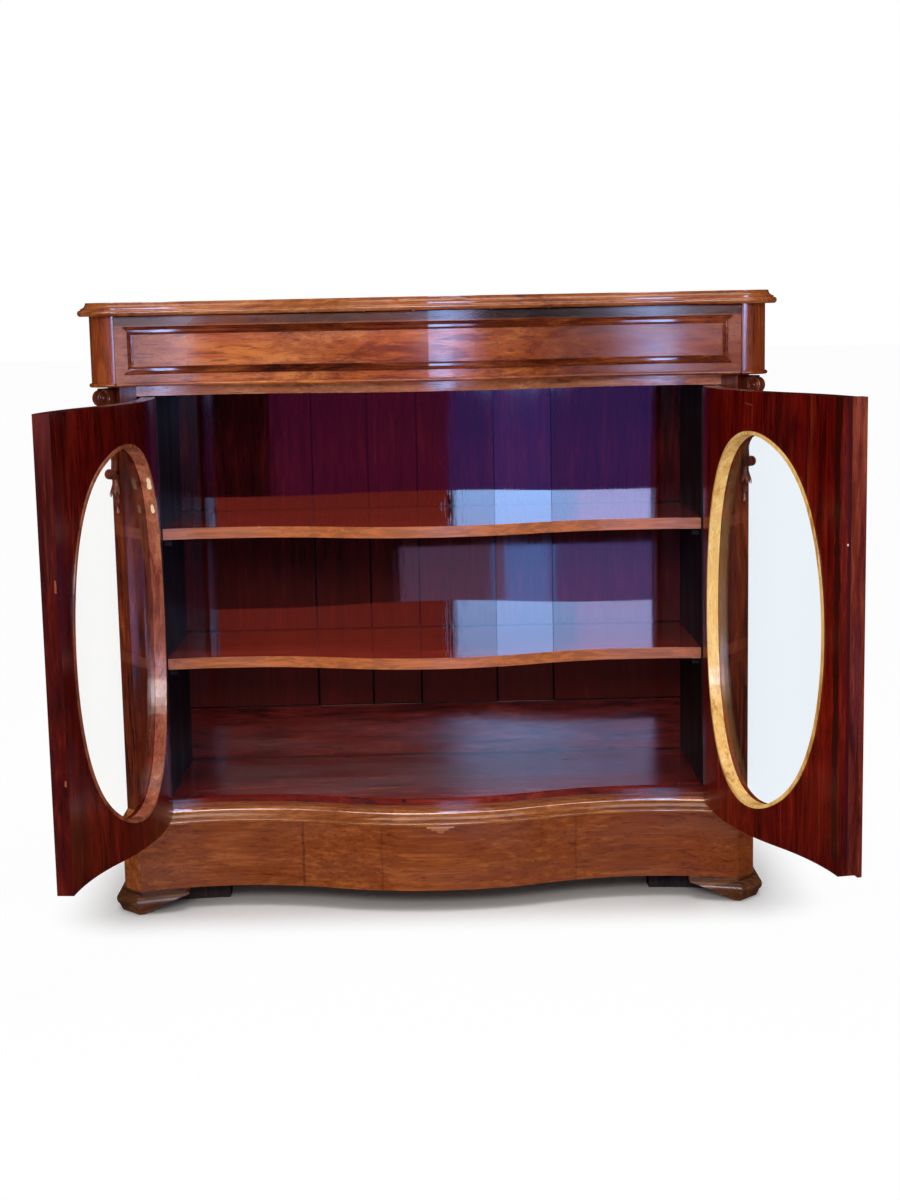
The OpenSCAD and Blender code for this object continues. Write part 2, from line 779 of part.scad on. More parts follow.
module corbel(side) placed() color("saddlebrown") handed(side)
  translate([corner_x + cant / 2, cant / 2, 0]) rotate([0, 0, -45]) corbel_body();

top_board();
frieze_block(-1);  // frieze_block_left
frieze_block(1);  // frieze_block_right
frieze_side(-1);  // frieze_side_left
frieze_side(1);  // frieze_side_right
front_post(-1);  // front_post_left
front_post(1);  // front_post_right
corbel(-1);  // corbel_left
corbel(1);  // corbel_right
end_board(-1);  // end_board_left
end_board(1);  // end_board_right
side_lining(-1);  // side_lining_left
side_lining(1);  // side_lining_right
back_board(1);  // back_board_1
back_board(2);  // back_board_2
back_board(3);  // back_board_3
back_board(4);  // back_board_4
back_board(5);  // back_board_5
back_board(6);  // back_board_6
back_bottom_rail();
bottom_board();
base_moulding_front();
base_moulding(-1);  // base_moulding_left
base_moulding(1);  // base_moulding_right
plinth_front();
plinth_side(-1);  // plinth_side_left
plinth_side(1);  // plinth_side_right
plinth_back();
front_foot(-1);  // front_foot_left
front_foot(1);  // front_foot_right
foot_blocks();
rear_feet();
upper_shelf();
lower_shelf();
shelf_bearers();
drawer_rail();
drawer_runner(-1);  // drawer_runner_left
drawer_runner(1);  // drawer_runner_right
drawer_kickers();
drawer_front();
drawer_moulding();
drawer_side(-1);  // drawer_side_left
drawer_side(1);  // drawer_side_right
drawer_back();
drawer_bottom();
door(-1);  // door_left
door(1);  // door_right
glass(-1);  // glass_left
glass(1);  // glass_right
glazing_bead(-1);  // glazing_bead_left
glazing_bead(1);  // glazing_bead_right
door_astragal();
hinge_leaves_fixed();
hinge_leaves(-1);  // hinge_leaves_left
hinge_leaves(1);  // hinge_leaves_right
hinge_pins();
hinge_screws_fixed();
hinge_screws(-1);  // hinge_screws_left
hinge_screws(1);  // hinge_screws_right
door_stop();
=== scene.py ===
import math

import bmesh
import bpy
from mathutils import Matrix, Vector

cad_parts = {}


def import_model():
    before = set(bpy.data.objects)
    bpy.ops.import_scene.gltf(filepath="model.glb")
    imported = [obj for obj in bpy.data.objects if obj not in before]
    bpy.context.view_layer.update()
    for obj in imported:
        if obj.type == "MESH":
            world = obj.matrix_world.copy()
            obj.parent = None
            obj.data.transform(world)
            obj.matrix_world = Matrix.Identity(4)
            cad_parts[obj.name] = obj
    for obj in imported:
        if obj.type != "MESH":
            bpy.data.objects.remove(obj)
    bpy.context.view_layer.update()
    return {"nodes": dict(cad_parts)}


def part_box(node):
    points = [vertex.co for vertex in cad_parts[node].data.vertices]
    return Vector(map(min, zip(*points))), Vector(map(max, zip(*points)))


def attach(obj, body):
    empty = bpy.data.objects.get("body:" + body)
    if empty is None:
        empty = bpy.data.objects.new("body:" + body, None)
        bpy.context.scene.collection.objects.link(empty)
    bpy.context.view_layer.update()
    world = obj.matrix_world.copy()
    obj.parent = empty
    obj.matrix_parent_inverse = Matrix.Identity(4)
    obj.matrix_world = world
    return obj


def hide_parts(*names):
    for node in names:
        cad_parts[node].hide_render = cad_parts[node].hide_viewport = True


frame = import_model()
nodes = frame["nodes"]

BOARD_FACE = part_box("back_board_1")[0][1]  # the front of the back boards
PLINTH_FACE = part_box("plinth_front")[0][1]  # the foremost line of the plinth
POST_CANT = 0.022  # what the canted corner takes off each side of a front post
CREASE_SHADE_RISE = 0.0008  # how far the middle of a painted shade line lies above the upper side whose crease it darkens


# Materials
class Tree:
    """The node tree of a material or a world, with short calls to add to it."""

    def __init__(self, owner, output="ShaderNodeOutputMaterial"):
        owner.use_nodes = True
        self.owner = owner
        self.nt = owner.node_tree
        self.nt.nodes.clear()
        self.out = self.node(output)
        self.place = None

    def at(self, part="Object"):
        """The place on the object, or its Normal there."""
        if self.place is None:
            self.place = self.node("ShaderNodeTexCoord")
        return self.place.outputs[part]

    def node(self, kind, inputs=None, **settings):
        n = self.nt.nodes.new(kind)
        for key, value in settings.items():
            setattr(n, key, value)
        for key, value in (inputs or {}).items():
            self.put(n.inputs[key], value)
        return n

    def put(self, socket, value):
        if isinstance(value, bpy.types.NodeSocket):
            self.nt.links.new(value, socket)
        else:
            socket.default_value = value

    def close(self, shader):
        """Link the last shader to the output."""
        self.put(self.out.inputs[0], shader.outputs[0])
        return self.owner

    def stretched(self, scale, offset=(0, 0, 0)):
        """Object coordinates, scaled along each axis."""
        return self.node("ShaderNodeMapping", {0: self.at(), 1: offset, 3: scale}).outputs[0]

    def split(self, part="Object"):
        """The place's or Normal's X, Y and Z."""
        return self.node("ShaderNodeSeparateXYZ", {0: self.at(part)}).outputs

    def noise(self, where, scale, detail=4.0, rough=0.55, distortion=0.0):
        n = self.node("ShaderNodeTexNoise", {"Vector": where, "Scale": scale, "Detail": detail,
                                             "Roughness": rough, "Distortion": distortion})
        return n.outputs["Fac"]

    def ramp(self, fac, stops):
        n = self.node("ShaderNodeValToRGB", {"Fac": fac})
        n.color_ramp.interpolation = "EASE"
        while len(n.color_ramp.elements) < len(stops):
            n.color_ramp.elements.new(1.0)
        for element, (position, colour) in zip(n.color_ramp.elements, stops):
            element.position = position
            element.color = (*colour, 1)
        return n.outputs["Color"]

    def level(self, fac, low, high, to_low=0.0, to_high=1.0):
        """A value mapped from one span to another, smoothly and without overshoot."""
        n = self.node("ShaderNodeMapRange", {0: fac, 1: low, 2: high, 3: to_low, 4: to_high},
                      interpolation_type="SMOOTHSTEP")
        return n.outputs[0]

    def math(self, operation, a, b=0.0, clamp=False):
        return self.node("ShaderNodeMath", {0: a, 1: b}, operation=operation, use_clamp=clamp).outputs[0]

    def vector(self, operation, a, b, out=0):
        return self.node("ShaderNodeVectorMath", {0: a, 1: b}, operation=operation).outputs[out]

    def mix(self, fac, a, b):
        """Two colours, with the second as strong as fac. A colour may be three plain numbers."""
        a, b = ((*c, 1) if isinstance(c, tuple) else c for c in (a, b))
        return self.node("ShaderNodeMix", {0: fac, 6: a, 7: b}, data_type="RGBA").outputs[2]

    def wobble(self, scale, detail, size):
        """An uneven amount either side of 0."""
        return self.math("MULTIPLY", self.math("SUBTRACT", self.noise(self.at(), scale, detail), 0.5), size)

    def length(self, vector):
        return self.node("ShaderNodeVectorMath", {0: vector}, operation="LENGTH").outputs[1]

    def stroke(self, start, end, width):
        """A ragged mark between two points of the object: 1 inside, 0 outside."""
        start, end = Vector(start), Vector(end)
        along = end - start
        away = self.vector("SUBTRACT", self.at(), start)
        passed = self.vector("DOT_PRODUCT", away, along, 1)
        share = self.math("DIVIDE", passed, along.length_squared, clamp=True)
        scaled = self.node("ShaderNodeVectorMath", {0: along, "Scale": share}, operation="SCALE").outputs[0]
        gap = self.length(self.vector("SUBTRACT", away, scaled))
        gap = self.math("SUBTRACT", gap, self.wobble(0.5 / width, 2.0, 0.8 * width))
        return self.level(gap, 0.75 * width, width, 1.0, 0.0)

    def from_block(self, middle, half):
        """Distance from an upright block."""
        away = self.node("ShaderNodeVectorMath", {0: self.vector("SUBTRACT", self.at(), middle)},
                         operation="ABSOLUTE").outputs[0]
        return self.length(self.vector("MAXIMUM", self.vector("SUBTRACT", away, half), (0, 0, 0)))


def rgb(r, g, b):
    """A colour given in screen values from 0 to 255."""
    shares = (r / 255, g / 255, b / 255)
    return tuple(c / 12.92 if c <= 0.04045 else ((c + 0.055) / 1.055) ** 2.4 for c in shares)


def grain(axis, along, across):
    return tuple(along if a == axis else across for a in "XYZ")


def wood(name, dark, mid, light, axis="X", seed=0.0, figure=1.0, rough=(0.12, 0.22), bump=0.08,
         pores=0.55, mottle=0.5, shine=0.5, front=None, dull=None, extra=None):
    """Polished wood whose grain runs along an axis of the cabinet.

    figure is the strength of the wide grain, mottle that of the dark flecks across it, and pores that of
    the fine dashes. rough is the polish's roughness from its best to its worst. front is the colour of a
    worn front edge. dull is a span of x in which the polish fades towards the left. extra adds to the
    colour.
    """
    t = Tree(bpy.data.materials.new(name))
    shift = (seed * 3.1, seed * 5.3, seed * 7.7)
    cloud = t.noise(t.stretched((1, 1, 1), shift), 2.6, 3.0)
    wide = t.noise(t.stretched(grain(axis, 1.0, 7.0), shift), 5.0, 4.0, 0.6, 1.2)
    lines = t.noise(t.stretched(grain(axis, 9.0, 150.0), shift), 1.0, 5.0, 0.68, 0.6)
    dashes = t.noise(t.stretched(grain(axis, 38.0, 520.0), shift), 1.0, 3.0, 0.6)
    bands = t.noise(t.stretched(grain(axis, 34.0, 7.0), shift), 1.0, 3.0, 0.6, 0.5)
    tone = t.math("ADD", t.math("MULTIPLY", wide, 0.6 * figure), t.math("MULTIPLY", lines, 0.55))
    tone = t.math("ADD", tone, t.math("MULTIPLY", cloud, 0.45))
    middle = (0.6 * figure + 1.0) / 2
    colour = t.ramp(t.level(tone, middle - 0.24, middle + 0.24), [(0.0, dark), (0.5, mid), (1.0, light)])
    deep = tuple(0.42 * c for c in dark)
    flecks = t.math("MULTIPLY", t.level(bands, 0.5, 0.72), t.level(lines, 0.5, 0.62))
    colour = t.mix(t.math("MULTIPLY", flecks, mottle), colour, deep)
    pore = t.level(dashes, 0.55, 0.68)
    colour = t.mix(t.math("MULTIPLY", pore, pores), colour, deep)
    if extra:
        colour = extra(t, colour)
    smear = t.noise(t.stretched(grain(axis, 3.0, 14.0), shift), 1.0, 4.0)
    roughness = t.level(smear, 0.3, 0.7, *rough)
    if front:
        turned = t.level(t.math("ABSOLUTE", t.split("Normal")["Y"]), 0.35, 0.75)
        worn = t.mix(t.level(lines, 0.4, 0.6), tuple(0.62 * c for c in front), front)
        colour = t.mix(turned, colour, worn)
        roughness = t.math("ADD", roughness, t.math("MULTIPLY", turned, 0.3))
    if dull:
        roughness = t.math("ADD", roughness, t.level(t.split()["X"], *dull, 0.25, 0.0))
    waves = t.noise(t.stretched(grain(axis, 3.0, 24.0), shift), 1.0, 2.0)
    height = t.math("SUBTRACT", t.math("MULTIPLY", waves, 2.2), t.math("MULTIPLY", pore, 0.12))
    b = t.node("ShaderNodeBump", {"Strength": bump, "Distance": 0.004, "Height": height})
    s = t.node("ShaderNodeBsdfPrincipled", {
        "Base Color": colour, "Roughness": roughness, "IOR": 1.5, "Specular IOR Level": shine,
        "Normal": b.outputs[0]})
    return t.close(s)


def glass_material(name, tint):
    """Old window glass, slightly wavy, that lets light through to what stands behind it."""
    t = Tree(bpy.data.materials.new(name))
    waves = t.noise(t.at(), 7.0, 1.0)
    b = t.node("ShaderNodeBump", {"Strength": 0.01, "Distance": 0.004, "Height": waves})
    s = t.node("ShaderNodeBsdfPrincipled", {
        "Base Color": (*tint, 1), "Roughness": 0.0, "IOR": 1.12, "Specular IOR Level": 0.3,
        "Transmission Weight": 1.0, "Normal": b.outputs[0]})
    clear = t.node("ShaderNodeBsdfTransparent", {"Color": (*tint, 1)})
    path = t.node("ShaderNodeLightPath")
    return t.close(t.node("ShaderNodeMixShader", {
        0: path.outputs["Is Shadow Ray"], 1: s.outputs[0], 2: clear.outputs[0]}))


def brass_material(name, dark, mid, light):
    """Unpolished brass with tarnish in three shades."""
    t = Tree(bpy.data.materials.new(name))
    tarnish = t.noise(t.at(), 120.0, 5.0, 0.6)
    colour = t.ramp(tarnish, [(0.3, dark), (0.55, mid), (0.75, light)])
    s = t.node("ShaderNodeBsdfPrincipled", {
        "Base Color": colour, "Metallic": 1.0, "Roughness": t.level(tarnish, 0.3, 0.7, 0.5, 0.28)})
    return t.close(s)


# Finishes
# dark for dirt in the joints of boards and for painted shade in creases
GRIME_AND_SHADE = rgb(8, 1, 2)
CREAM = rgb(246, 222, 178)


def patches(marks):
    """Marks of a few colours: (start, end, width, colour, strength)."""
    def add(t, base):
        for start, end, width, colour, strength in marks:
            base = t.mix(t.math("MULTIPLY", t.stroke(start, end, width), strength), base, colour)
        return base
    return add


def joint_dirt_and_crease_shade(lines):
    """Dark lines: dirt in the joints of boards, and painted shade in the creases along shelves and rails.
    """
    return patches([(start, end, 0.0022, GRIME_AND_SHADE, 0.9) for start, end in lines])


def veneer(t, base):
    """The frieze: dark dashes in mottled veneer, painted shade that darkens both ends, and a painted shadow
    of the top as a dark line under it.
    """
    x, _, z = t.split()
    # painted shade: the frieze darkens towards the right, where less light falls on it
    right = t.math("ADD", x, t.math("MULTIPLY", t.noise(t.at(), 6.0), 0.12))
    base = t.mix(t.level(right, 0.06, 0.30, 0.0, 0.7), base, rgb(92, 26, 8))
    # painted shade: the left end darker, to hold down the window's reflection there
    base = t.mix(t.level(x, -0.46, -0.33, 0.5, 0.0), base, rgb(112, 44, 12))
    dashes = t.noise(t.stretched((26.0, 26.0, 190.0), (3, 1, 7)), 1.0, 3.0, 0.6)
    base = t.mix(t.level(dashes, 0.58, 0.66, 0.0, 0.55), base, rgb(78, 26, 8))
    # painted shadow of the top's overhang: a dark line under the top, deeper to the right
    shade = t.math("MULTIPLY", t.level(z, 0.951, 0.956), t.level(right, -0.3, 0.2, 0.75, 0.95))
    return t.mix(shade, base, rgb(24, 4, 8))


def crease_shade_line(name):
    """The line of painted shade in the crease where a node's upper side meets the back boards, a little
    raised.
    """
    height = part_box(name)[1][2] + CREASE_SHADE_RISE
    return (-0.6, BOARD_FACE, height), (0.6, BOARD_FACE, height)


def old_boards_and_painted_light(t, base):
    """The back boards: painted light that makes them paler low down, raw at the back, with dirt in their
    joints and painted shade in the creases along the shelves.
    """
    _, y, z = t.split()
    # painted light: the boards paler low down, where more light reaches them than under the frieze
    base = t.mix(t.level(z, 0.30, 0.66, 0.55, 0.0), base, rgb(104, 40, 34))
    base = t.mix(t.level(y, 0.378, 0.384, 0.0, 0.85), base, rgb(84, 56, 38))
    joints = []
    for board in range(1, 6):
        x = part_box(f"back_board_{board}")[1][0]
        joints.append(((x, BOARD_FACE, 0.27), (x, BOARD_FACE, 0.97)))
    # painted shade in the creases where the rail and shelves meet the back boards
    crease_shades = [crease_shade_line(name) for name in ("back_bottom_rail", "lower_shelf", "upper_shelf")]
    return joint_dirt_and_crease_shade(joints + crease_shades)(t, base)


def door_face(marks):
    """Orange streaks that show through the red polish, and the door's own marks, which on the right door
    include a band of painted shade.
    """
    def add(t, base):
        streaks = t.noise(t.stretched((60.0, 60.0, 3.0), (5, 2, 0)), 1.0, 4.0, 0.6)
        base = t.mix(t.level(streaks, 0.6, 0.74, 0.0, 0.5), base, rgb(142, 52, 20))
        return patches(marks)(t, base)
    return add


LEFT_DOOR_MARKS = [
    ((-0.5330, -0.388, 0.60), (-0.5330, -0.388, 0.615), 0.0016, rgb(176, 84, 60), 0.7),
    ((-0.5330, -0.388, 0.33), (-0.5330, -0.388, 0.336), 0.0018, rgb(176, 84, 60), 0.7)]
RIGHT_DOOR_MARKS_AND_SHADE = [
    # painted shade: a dark band down the inner face near the meeting edge, where the face turns away from
    # the light
    ((0.541, -0.366, 0.20), (0.541, -0.366, 0.85), 0.013, rgb(34, 11, 6), 0.85),
    ((0.549, -0.381, 0.20), (0.549, -0.381, 0.85), 0.004, rgb(58, 9, 20), 0.85),
    ((0.4437, -0.1467, 0.8244), (0.4508, -0.1654, 0.8222), 0.0008, rgb(150, 84, 60), 0.5),
    ((0.4509, -0.1657, 0.8222), (0.4509, -0.1657, 0.7946), 0.0007, rgb(150, 84, 60), 0.4),
    ((0.5459, -0.3798, 0.6400), (0.5459, -0.3798, 0.6414), 0.0012, rgb(240, 230, 220), 0.9)]
RIM_CHIPS = [
    ((-0.450, -0.0475, 0.709), (-0.450, -0.0565, 0.7245), 0.0038, CREAM, 0.95),
    ((-0.450, -0.025, 0.6690), (-0.450, -0.0285, 0.6840), 0.003, CREAM, 0.95)]
BLOCK_SCRATCH = [((-0.5309, 0.045, 0.915), (-0.5309, 0.045, 0.950), 0.0016, rgb(214, 150, 110), 0.6)]
PLINTH_CHIP = [
    ((-0.020, PLINTH_FACE, 0.1360), (-0.014, PLINTH_FACE, 0.1360), 0.0034, rgb(172, 106, 70), 0.7),
    ((-0.030, PLINTH_FACE, 0.1395), (-0.006, PLINTH_FACE, 0.1395), 0.0026, rgb(186, 120, 86), 0.7),
    ((-0.038, PLINTH_FACE, 0.1425), (0.004, PLINTH_FACE, 0.1425), 0.0018, rgb(214, 158, 128), 0.75)]


def plinth_veneer(t, base):
    """Sheets of veneer that meet in three faint upright joints, and a chip under the moulding."""
    x = t.math("ADD", t.split()["X"], t.wobble(40.0, 3.0, 0.006))
    for place, width, strength in ((-0.242, 0.0013, 0.42), (-0.113, 0.0010, 0.22), (0.205, 0.0010, 0.25)):
        away = t.math("ABSOLUTE", t.math("SUBTRACT", x, place))
        base = t.mix(t.level(away, width, 2.2 * width, strength, 0.0), base, rgb(36, 12, 6))
    return patches(PLINTH_CHIP)(t, base)


panel = dict(dark=rgb(116, 42, 10), mid=rgb(172, 82, 28), light=rgb(208, 120, 52))
block = dict(dark=rgb(76, 26, 8), mid=rgb(132, 56, 22), light=rgb(168, 84, 36))
tan = dict(dark=rgb(104, 46, 18), mid=rgb(156, 86, 44), light=rgb(194, 126, 76))
post = dict(dark=rgb(52, 16, 5), mid=rgb(98, 36, 14), light=rgb(136, 60, 24))
plinth = dict(dark=rgb(90, 34, 9), mid=rgb(134, 62, 20), light=rgb(170, 92, 38))
inside = dict(dark=rgb(34, 4, 7), mid=rgb(62, 10, 15), light=rgb(92, 24, 20))
lower = dict(dark=rgb(60, 14, 12), mid=rgb(108, 32, 27), light=rgb(144, 58, 44))
boards = dict(dark=rgb(72, 16, 11), mid=rgb(130, 38, 27), light=rgb(168, 64, 42))
left_door = dict(dark=rgb(40, 2, 1), mid=rgb(72, 6, 3), light=rgb(104, 20, 8))
right_door = dict(dark=rgb(56, 3, 1), mid=rgb(92, 9, 4), light=rgb(124, 28, 10))
raw = dict(dark=rgb(26, 16, 12), mid=rgb(48, 31, 22), light=rgb(70, 46, 32), rough=(0.6, 0.8), shine=0.2)
gloss = dict(rough=(0.02, 0.05), bump=0.01, mottle=0.35)
satin = dict(axis="Z", figure=1.2, rough=(0.18, 0.28), shine=0.28)

# Each finish goes to the nodes whose names begin with one of its words; the longest word wins.
PALETTE = {
    "top_board": wood("top_polish", **tan, seed=1, figure=0.8, rough=(0.1, 0.16), bump=0.03),
    "frieze_block": wood("block_polish", **block, axis="Z", seed=2, extra=patches(BLOCK_SCRATCH)),
    "frieze_side": wood("frieze_side_polish", **block, axis="Y", seed=3),
    # the frieze's veneer also carries painted shade at its ends and a painted shadow under the top
    "drawer_front": wood("frieze_polish", **panel, seed=4, figure=1.3, rough=(0.17, 0.27),
                         dull=(-0.46, -0.36), extra=veneer),
    "drawer_moulding": wood("moulding_polish", dark=rgb(52, 16, 7), mid=rgb(100, 40, 16),
                            light=rgb(146, 74, 36), seed=5, rough=(0.08, 0.13), bump=0.02),
    "drawer_rail": wood("rail_polish", dark=rgb(104, 46, 22), mid=rgb(166, 98, 62),
                        light=rgb(200, 136, 98), seed=6),
    "front_post": wood("post_polish", **post, axis="Z", seed=7),
    "end_board": wood("end_polish", **post, axis="Z", seed=8, figure=1.2),
    "corbel": wood("carved_polish", **post, axis="Z", seed=9, rough=(0.2, 0.35)),
    "base_moulding": wood("base_polish", dark=rgb(96, 42, 16), mid=rgb(148, 80, 38),
                          light=rgb(186, 114, 62), seed=10, rough=(0.09, 0.14), bump=0.02),
    "plinth_front": wood("plinth_polish", **plinth, seed=11, figure=0.45, mottle=0.25,
                         rough=(0.2, 0.32), extra=plinth_veneer),
    "plinth_side": wood("plinth_side_polish", **plinth, axis="Y", seed=12, rough=(0.2, 0.32)),
    "front_foot": wood("foot_polish", dark=rgb(48, 22, 10), mid=rgb(92, 50, 24),
                       light=rgb(132, 80, 42), seed=13, rough=(0.25, 0.4)),
    "foot_blocks plinth_back rear_feet": wood("block_wood", **raw, axis="Z", seed=14),
    "back_board_5": wood("back_5_polish", **inside, **gloss, axis="Z", seed=26, shine=0.7,
                         extra=old_boards_and_painted_light),
    "back_board": wood("back_polish", **inside, **gloss, axis="Z", seed=15, extra=old_boards_and_painted_light),
    # painted shade in the crease where the bottom board meets the back rail
    "back_bottom_rail": wood("back_rail_polish", **lower, rough=(0.06, 0.12), bump=0.04, mottle=0.35,
                             seed=16, extra=joint_dirt_and_crease_shade([crease_shade_line("bottom_board")])),
    # painted shade: the side linings and shelf bearers get near-black colours for the shadow they lie in
    "side_lining shelf_bearers": wood("lining_painted_shade", dark=rgb(8, 1, 2), mid=rgb(20, 3, 5),
                                      light=rgb(34, 8, 9), axis="Z", rough=(0.45, 0.6), shine=0.2,
                                      seed=17),
    "bottom_board": wood("bottom_polish", dark=rgb(66, 11, 8), mid=rgb(122, 28, 19), light=rgb(158, 54, 34),
                         rough=(0.12, 0.2), bump=0.05, mottle=0.35, shine=0.36, seed=18),
    "upper_shelf lower_shelf": wood("shelf_polish", **boards, **gloss, seed=19, front=rgb(198, 108, 48)),
    "door_left": wood("door_left_polish", **left_door, **satin, seed=20,
                      extra=door_face(LEFT_DOOR_MARKS)),
    "door_right": wood("door_right_polish", **right_door, **satin, seed=25,
                       extra=door_face(RIGHT_DOOR_MARKS_AND_SHADE)),
    "door_astragal": wood("astragal_polish", dark=rgb(60, 14, 10), mid=rgb(112, 38, 26),
                          light=rgb(150, 70, 46), axis="Z", seed=21),
    "glazing_bead_left": wood("bead_left_polish", dark=rgb(84, 30, 22), mid=rgb(142, 76, 54),
                              light=rgb(182, 112, 80), axis="Z", seed=22, extra=patches(RIM_CHIPS)),
    "glazing_bead_right": wood("bead_right_polish", dark=rgb(184, 122, 52), mid=rgb(238, 186, 108),
                               light=rgb(250, 212, 142), axis="Z", seed=23, pores=0.35),
    "drawer_": wood("drawer_wood", dark=rgb(120, 84, 54), mid=rgb(158, 118, 78), light=rgb(188, 150, 106),
                    axis="Y", seed=24, rough=(0.5, 0.7), shine=0.2),
    "glass_left": glass_material("pane_left", (1.0, 1.0, 0.985)),
    "glass_right": glass_material("pane_right", (0.87, 0.94, 0.99)),
    "hinge_": brass_material("old_brass", rgb(88, 62, 30), rgb(168, 128, 66), rgb(206, 168, 98)),
    "door_stop": brass_material("dull_stud", rgb(44, 18, 12), rgb(92, 38, 26), rgb(136, 72, 50)),
}
FINISHES = {start: material for starts, material in PALETTE.items() for start in starts.split()}
for name, obj in nodes.items():
    finish = max((start for start in FINISHES if name.startswith(start)), key=len)
    obj.data.materials.clear()
    obj.data.materials.append(FINISHES[finish])


# Soft edges
def soften(obj, width):
    """The worn arrises of a board."""
    weld = obj.modifiers.new("weld", "WELD")
    weld.merge_threshold = 0.00001
    bevel = obj.modifiers.new("worn_edges", "BEVEL")
    bevel.width = width
    bevel.segments = 2
    bevel.limit_method = "ANGLE"
    bevel.angle_limit = math.radians(50)
    normals = obj.modifiers.new("normals", "WEIGHTED_NORMAL")
    normals.keep_sharp = False


WORN = {"back_board": 0.0012, "front_foot": 0.0035, "upper_shelf": 0.0018, "lower_shelf": 0.0018,
        "bottom_board": 0.0018, "back_bottom_rail": 0.0008, "drawer_rail": 0.0008, "side_lining": 0.0008}
for name, obj in nodes.items():
    for start, width in WORN.items():
        if name.startswith(start):
            soften(obj, width)


def placed(name, data):
    """A new object in the scene."""
    o = bpy.data.objects.new(name, data)
    bpy.context.scene.collection.objects.link(o)
    return o


# Corbels
class Carving:
    """Closed shells, placed by distance out from the canted face, along it, and height under the frieze."""

    def __init__(self, hand):
        lo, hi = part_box(f"front_post_{hand}")
        self.side, corner = (1, hi[0]) if hand == "right" else (-1, lo[0])
        under_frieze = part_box(f"frieze_block_{hand}")[0][2]
        self.middle = Vector((corner - self.side * POST_CANT / 2, lo[1] + POST_CANT / 2, under_frieze))
        self.bm = bmesh.new()

    def point(self, out, along, z):
        """A place in the frame, from millimetres; the cant stands at 45 degrees."""
        x, y = math.sqrt(0.5) * (out + along), math.sqrt(0.5) * (along - out)
        return self.middle + Vector((self.side * x, y, z)) / 1000

    def rings(self, rings):
        """A skin over closed rings of points, with its ends filled."""
        rows = [[self.bm.verts.new(self.point(*p)) for p in ring] for ring in rings]
        n = len(rows[0])
        for a, b in zip(rows, rows[1:]):
            for i in range(n):
                self.bm.faces.new((a[i], a[(i + 1) % n], b[(i + 1) % n], b[i]))
        self.bm.faces.new(rows[0])
        self.bm.faces.new(list(reversed(rows[-1])))

    def turned(self, centre, profile, lobes=0, n=32):
        """A shape turned about an upright line: profile rows are height, radius and depth of its lobes."""
        out, along = centre
        rings = []
        for z, r, cut in profile:
            ring = []
            for i in range(n):
                a = 2 * math.pi * i / n
                radius = r - cut * abs(math.sin(lobes * a / 2))
                ring.append((out + radius * math.cos(a), along + radius * math.sin(a), z))
            rings.append(ring)
        self.rings(rings)

    def scroll(self, out, z, r, half, turns):
        """A roll across the corbel, with a raised spiral and an eye on each end."""
        def circle(q, s, n):
            """A ring of n points of radius q about the roll's axis, s along it."""
            angles = [2 * math.pi * i / n for i in range(n)]
            return [(out + q * math.cos(a), s, z + q * math.sin(a)) for a in angles]

        rows = [(-half + 0.2, r - 2.2), (-half, r - 1.4), (-half + 1.0, r - 0.2), (-half + 2.2, r),
                (-1.6, r), (-0.8, r - 0.9), (0.8, r - 0.9), (1.6, r),
                (half - 2.2, r), (half - 1.0, r - 0.2), (half, r - 1.4), (half - 0.2, r - 2.2)]
        self.rings([circle(q, s, 48) for s, q in rows])
        for way in (-1, 1):
            steps = int(20 * turns)
            rings = []
            for i in range(steps + 1):
                a = math.radians(100) + 2 * math.pi * turns * i / steps
                q = (r - 2.4) * (1 - 0.68 * i / steps)
                thick = 0.085 * r * (1.1 - 0.5 * i / steps)
                ring = []
                for k in range(10):
                    b = math.pi * k / 5
                    reach = q + thick * math.cos(b)
                    ring.append((out + reach * math.cos(a), way * (half - 0.3 + thick * math.sin(b)),
                                 z + reach * math.sin(a)))
                rings.append(ring)
            self.rings(rings)
            eye = [(0.0, 0.30), (0.05, 0.29), (0.10, 0.24), (0.13, 0.15), (0.14, 0.05)]
            self.rings([circle(q * r, way * (half - 0.6 + h * r), 20) for h, q in eye])

    def body(self):
        """The bowed web between the scrolls, with a hollow down its front."""
        # Height and reach of the front's line.
        line = [(-2, 26), (-14, 27), (-26, 25), (-34, 19), (-44, 16), (-56, 17.5), (-68, 20.5), (-80, 22),
                (-90, 19.5), (-100, 14.5), (-108, 10), (-116, 8), (-126, 8.5), (-134, 9)]
        # Half of the section, from edge to middle: place along, share of the reach, share of the hollow.
        edge = [(-1.0, 0.0, 0), (-1.0, 0.55, 0), (-0.96, 0.9, 0), (-0.84, 1.0, 0), (-0.62, 1.0, 0),
                (-0.5, 1.0, 0.5), (-0.3, 1.0, 1.0)]
        across = edge + [(0.0, 1.0, 1.15)] + [(-a, depth, cut) for a, depth, cut in reversed(edge)]
        rings = []
        for i in range(len(line) * 4 - 3):
            k, f = divmod(i, 4)
            (z0, o0), (z1, o1) = line[k], line[min(k + 1, len(line) - 1)]
            f = f / 4
            # A smooth curve through the line's points, with its slopes taken from their neighbours.
            before, after = line[max(k - 1, 0)][1], line[min(k + 2, len(line) - 1)][1]
            out = 0.5 * (2 * o0 + (o1 - before) * f + (2 * before - 5 * o0 + 4 * o1 - after) * f * f
                         + (3 * o0 - before - 3 * o1 + after) * f ** 3)
            z = z0 + (z1 - z0) * f
            half = 8.3 if z > -90 else 8.3 - 2.6 * min(1.0, (-90 - z) / 24)
            reach = out + 0.5
            rings.append([(reach * depth - 0.5 - 1.5 * cut, half * a, z) for a, depth, cut in across])
        self.rings(rings)

